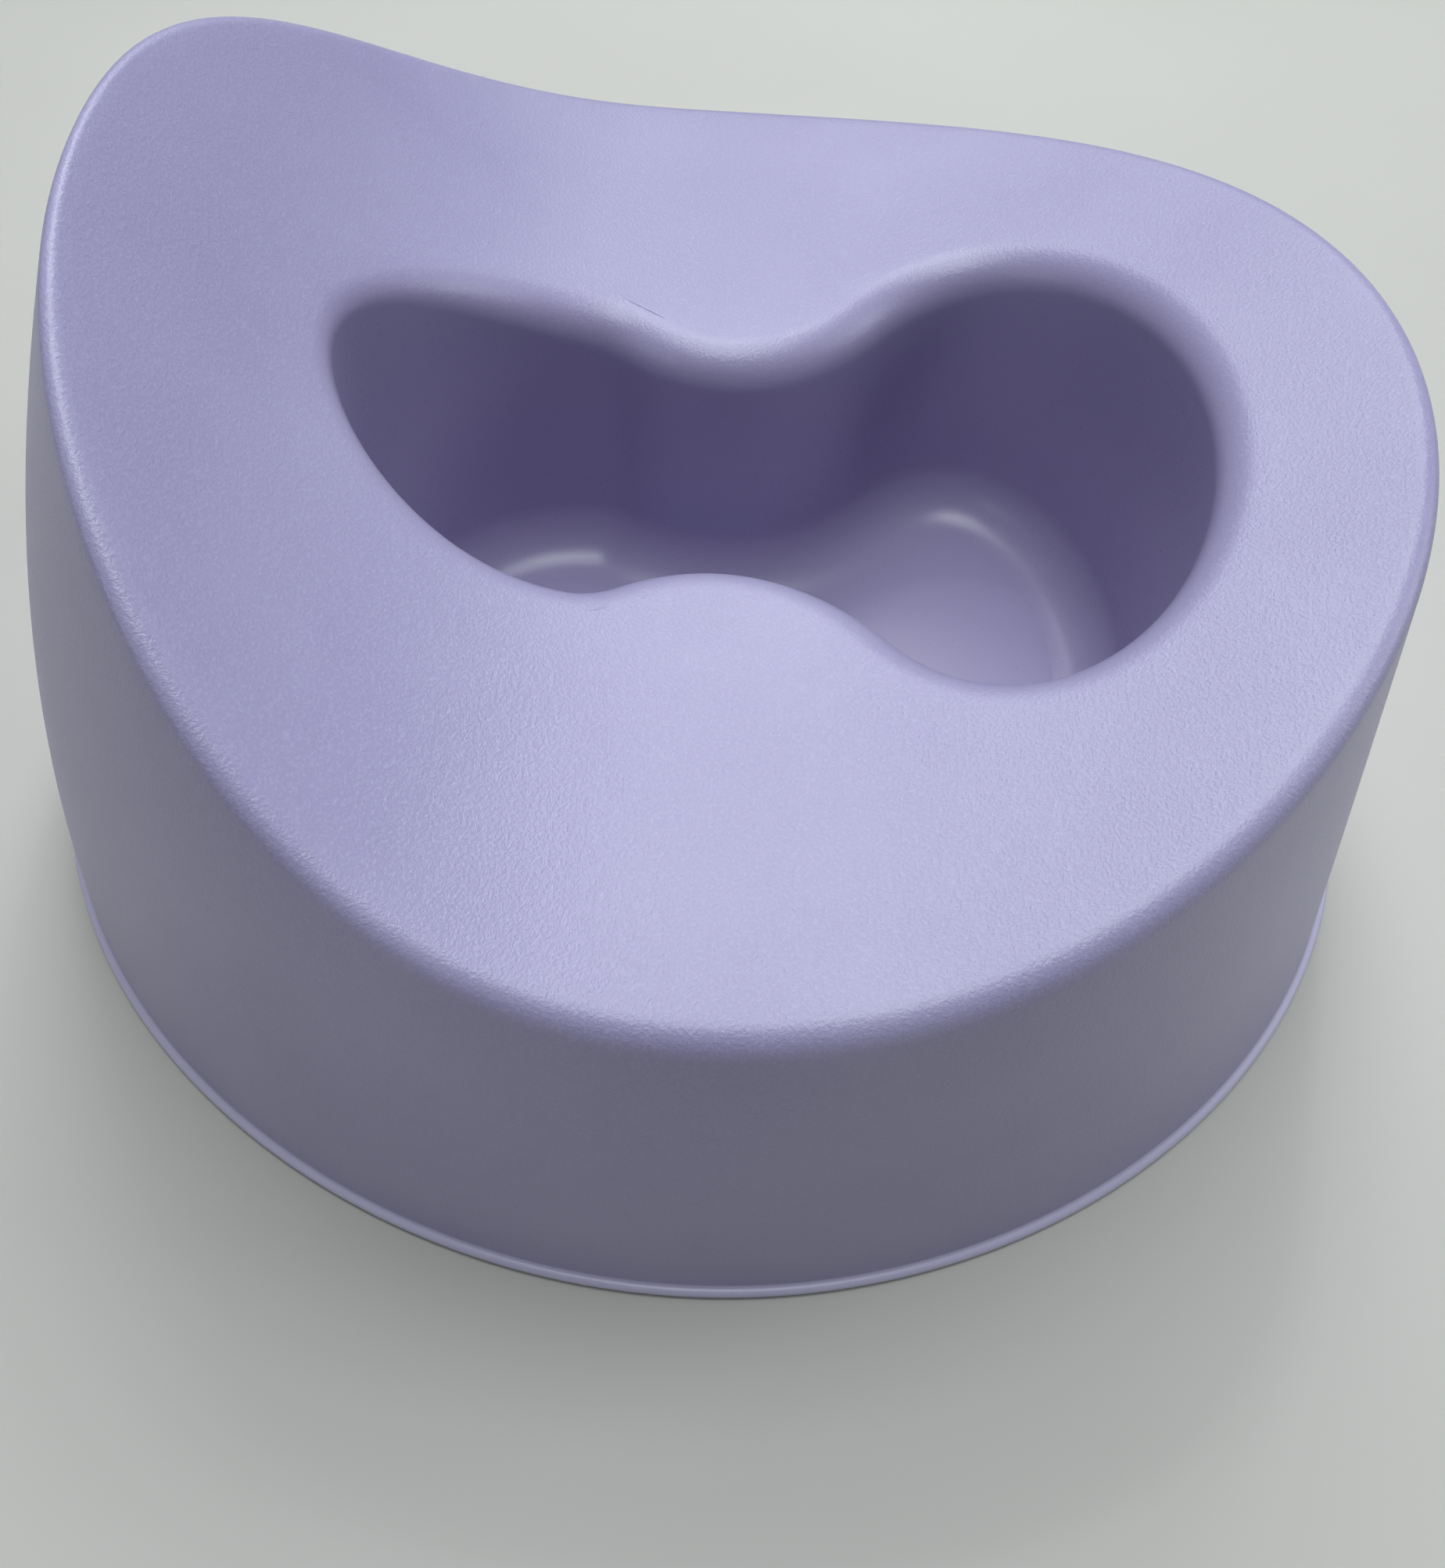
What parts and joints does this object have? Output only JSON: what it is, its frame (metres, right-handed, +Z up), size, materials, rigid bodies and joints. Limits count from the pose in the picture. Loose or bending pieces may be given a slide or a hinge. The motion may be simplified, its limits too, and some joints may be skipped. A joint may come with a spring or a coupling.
{
  "type": "potty training chair",
  "caption": "One-piece moulded toddler potty with a saddle-shaped seat, a tall rounded back, an integral figure-eight bowl and rubber grip pads underneath.",
  "frame": {"origin": "on the floor, at the middle of the footprint", "axes": "+Z up, +Y towards the back of the chair, X across it (X = 0 is the mirror plane)"},
  "size_m": [0.3384, 0.38, 0.1965],
  "materials": {
    "body_plastic": "lilac polypropylene with a fine matte spark texture outside and a smoother satin bowl",
    "grip_rubber": "matte soft rubber"
  },
  "bodies": {
    "root": {"potty_body": "body_plastic", "grip_pad_front_right": "grip_rubber", "grip_pad_front_left": "grip_rubber", "grip_pad_rear_right": "grip_rubber", "grip_pad_rear_left": "grip_rubber"}
  },
  "joints": []
}
